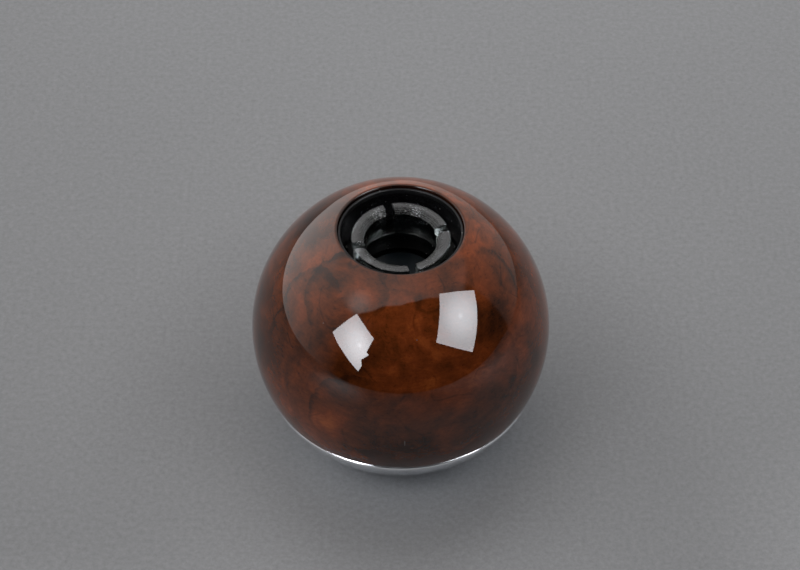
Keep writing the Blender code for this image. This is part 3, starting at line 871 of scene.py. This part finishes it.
# Outline of the card under the ball: straight in front, far out at the sides, and with a notch behind.
FLOOR_OUTLINE = ((-560, -245), (1500, -245), (1500, 900), (300, 640), (215, 480), (59, 239), (6, 140),
                 (-59, 239), (-215, 480), (-330, 560), (-560, 330), (-650, 80))
FAR_FLOOR_R = 3000.0
FAR_FLOOR_Z = -0.05  # just below the card
CAMERA_ELEVATION = 46.2
CAMERA_DISTANCE = 18 * BALL_R
CAMERA_SHIFT = (-0.000875, 0.05025)  # this and the ball's radius are shares of the picture's width
BALL_SPAN = 0.1855

# Where each softbox hangs, which way it faces, how bright it is, its brightest point and its outline
# in mm. The left one is folded in along one side.
LEFT_BOX = dict(place=(-37.0, 28.9), faces=(-71.5, -6.9), roll=-20.0, level=17.0, hot=(38, -15),
                outline=((-125, -140), (112, -164), (120, -114), (97, -84), (136, 1), (108, -2), (112, 178),
                         (-138, 120)))
RIGHT_BOX = dict(place=(56.1, 34.7), faces=(66.6, 18.3), roll=134.2, level=14.0, hot=(-18, -26),
                 outline=((-138, -180), (145, -190), (150, 168), (-135, 170)))
BOX_DISTANCE = 500.0
SOFTBOX_COLOUR = (0.935, 0.955, 1.0, 1.0)
BACK_PLACE = (176.0, 52.0)
BACK_DISTANCE = 300.0
BACK_SIZE = 300.0
BACK_ENERGY = 0.45
CEILING_HOT_SPOT = (-56, 51)
BACKDROP_COLOUR = (0.42, 0.425, 0.43)


def build_floor(material):
    """The card that the ball stands on and is reflected in, lying on a far floor of the same card that
    only fills the picture beyond it."""
    bm = bmesh.new()
    bm.faces.new([bm.verts.new((x * MM, y * MM, 0.0)) for x, y in FLOOR_OUTLINE])
    card = mesh_object("floor_card", bm, material)
    bm = bmesh.new()
    bmesh.ops.create_circle(bm, cap_ends=True, segments=96, radius=FAR_FLOOR_R * MM)
    far = mesh_object("far_floor", bm, material)
    far.location.z = FAR_FLOOR_Z * MM
    for ray in ("visible_diffuse", "visible_glossy", "visible_transmission", "visible_shadow"):
        setattr(far, ray, False)


def build_softbox(name, place, faces, roll, level, hot, outline):
    """A glowing cloth whose centre lies in direction place and whose face is turned by faces and roll."""
    bm = bmesh.new()
    bm.faces.new([bm.verts.new((u * MM, v * MM, 0.0)) for u, v in outline])
    cloth = mesh_object(name, bm, softbox_material(name + "_cloth", hot, level))
    normal = direction(*faces)
    flat = Vector((0, 0, 1)).cross(normal).normalized()
    across = Matrix.Rotation(math.radians(roll), 3, normal) @ flat
    turn = Matrix((across, normal.cross(across), normal)).transposed().to_4x4()
    centre = (Vector((0, 0, BALL_Z)) + direction(*place) * BOX_DISTANCE) * MM
    cloth.matrix_world = Matrix.Translation(centre) @ turn
    cloth.visible_camera = False
    cloth.visible_diffuse = False


def build_back_light():
    """A broad light above the far side that only brightens what is matte."""
    light = bpy.data.lights.new("back_light", "AREA")
    light.shape = "DISK"
    light.size = BACK_SIZE * MM
    light.energy = BACK_ENERGY
    obj = bpy.data.objects.new("back_light", light)
    bpy.context.scene.collection.objects.link(obj)
    way = direction(*BACK_PLACE)
    obj.location = (Vector((0, 0, BALL_Z)) + way * BACK_DISTANCE) * MM
    obj.rotation_euler = way.to_track_quat("Z", "Y").to_euler()
    obj.visible_glossy = False
    obj.visible_transmission = False


def build_world():
    """A room that is bright behind, overhead and to the left, and dark behind the camera."""
    world = bpy.data.worlds.new("studio")
    bpy.context.scene.world = world
    nodes = Nodes(world)
    background = nodes.tree.nodes["Background"]
    way = nodes.add("ShaderNodeTexCoord").outputs["Generated"]
    x, y, z = nodes.parts(way)

    wobble = nodes.math("MULTIPLY", nodes.math("SUBTRACT", nodes.noise(way, 3.5, 1.0), 0.5), 0.09)
    edge = nodes.math("MULTIPLY_ADD", nodes.math("MAXIMUM", x, 0.0), -0.35, nodes.math("ADD", y, 0.49))
    ceiling = nodes.ramp(nodes.math("ADD", edge, wobble), -0.01, 0.02)
    hot = nodes.ramp(nodes.vector("DISTANCE", way, direction(*CEILING_HOT_SPOT)), 0.02, 0.22, 0.95, 0.0)
    tone = nodes.math("ADD", nodes.ramp(x, -0.1, 0.6, 0.98, 0.60), hot)
    ceiling = nodes.math("MULTIPLY", ceiling, tone)

    wall = nodes.ramp(edge, -0.2, 1.05, smooth=False)
    wall = nodes.math("MULTIPLY", wall, nodes.ramp(x, -0.75, 0.05, 1.65, 0.60))
    right = nodes.math("MULTIPLY", nodes.ramp(x, 0.1, 0.4), nodes.ramp(y, -0.03, 0.03, 0.85, 0.0))
    wall = nodes.math("MULTIPLY", wall, nodes.math("SUBTRACT", 1.0, right))
    high = nodes.ramp(nodes.math("MULTIPLY_ADD", wobble, 0.6, z), 0.64, 0.73)
    level = nodes.math("ADD", nodes.math("MULTIPLY", ceiling, high),
                       nodes.math("MULTIPLY", wall, nodes.math("SUBTRACT", 1.0, high)))
    level = nodes.math("ADD", level, 0.012)

    seen = nodes.add("ShaderNodeLightPath").outputs["Is Camera Ray"]
    colour = nodes.mix(seen, nodes.vector("SCALE", (1.0, 0.97, 0.96), scale=level), BACKDROP_COLOUR)
    nodes.put(background.inputs["Color"], colour)
    background.inputs["Strength"].default_value = 1.0


def build_camera():
    camera = bpy.data.cameras.new("camera")
    obj = bpy.data.objects.new("camera", camera)
    bpy.context.scene.collection.objects.link(obj)
    back = direction(0, CAMERA_ELEVATION)
    obj.location = (Vector((0, 0, BALL_Z)) + back * CAMERA_DISTANCE) * MM
    obj.rotation_euler = back.to_track_quat("Z", "Y").to_euler()
    camera.sensor_width = 36.0
    camera.lens = BALL_SPAN * camera.sensor_width * CAMERA_DISTANCE / BALL_R
    camera.shift_x, camera.shift_y = CAMERA_SHIFT
    camera.clip_start = 0.01
    bpy.context.scene.camera = obj
    bpy.context.scene.view_settings.view_transform = "Standard"


# ---------------------------------------------------------------- assembly

def main():
    chrome = chrome_material()
    black_core = moulded_material("moulded_core_plastic", (0.022, 0.022, 0.024), 0.5)
    rubber = moulded_material("friction_rubber", (0.016, 0.016, 0.016), 0.75, 0.25, 0.03)
    seam = moulded_material("seam_rubber", (0.004, 0.004, 0.004), 0.6)
    pad_rubber = moulded_material("socket_pad_rubber", (0.002, 0.0055, 0.008), 0.45, 0.5, 0.01)
    clear = collet_material("clear_collet_plastic", (0.22, 0.25, 0.25), (0.38, 0.41, 0.40))
    # A darker copy of the clear plastic for the flange, tube and ribs down in the socket: painted shade.
    shaded = collet_material("collet_flange_plastic_painted_shade", (0.08, 0.09, 0.09), (0.16, 0.18, 0.17))

    build_shell(burl_material())
    build_seam_ring(seam)
    build_foot_ring(chrome)
    build_friction_pad(rubber)
    build_liner(liner_material())
    build_collet_base(shaded)
    for number in range(1, FINGERS + 1):
        build_finger(number, clear)
    build_socket_pad(pad_rubber)

    finish_nodes("base_plate", black_core)
    finish_nodes("core_body", black_core)
    finish_nodes("ballast", metal_material("cast_zinc", (0.36, 0.37, 0.38), 0.5, 1.0))
    steel = metal_material("plated_steel", (0.62, 0.63, 0.65), 0.28)
    brass = metal_material("turned_brass", (0.72, 0.50, 0.20), 0.28)
    for prefix in ("base_screw", "socket_screw"):
        finish_nodes(prefix, steel)
    for prefix in ("base_insert", "socket_insert"):
        finish_nodes(prefix, brass)

    build_floor(floor_material())
    build_softbox("softbox_left", **LEFT_BOX)
    build_softbox("softbox_right", **RIGHT_BOX)
    build_back_light()
    build_world()
    build_camera()


main()
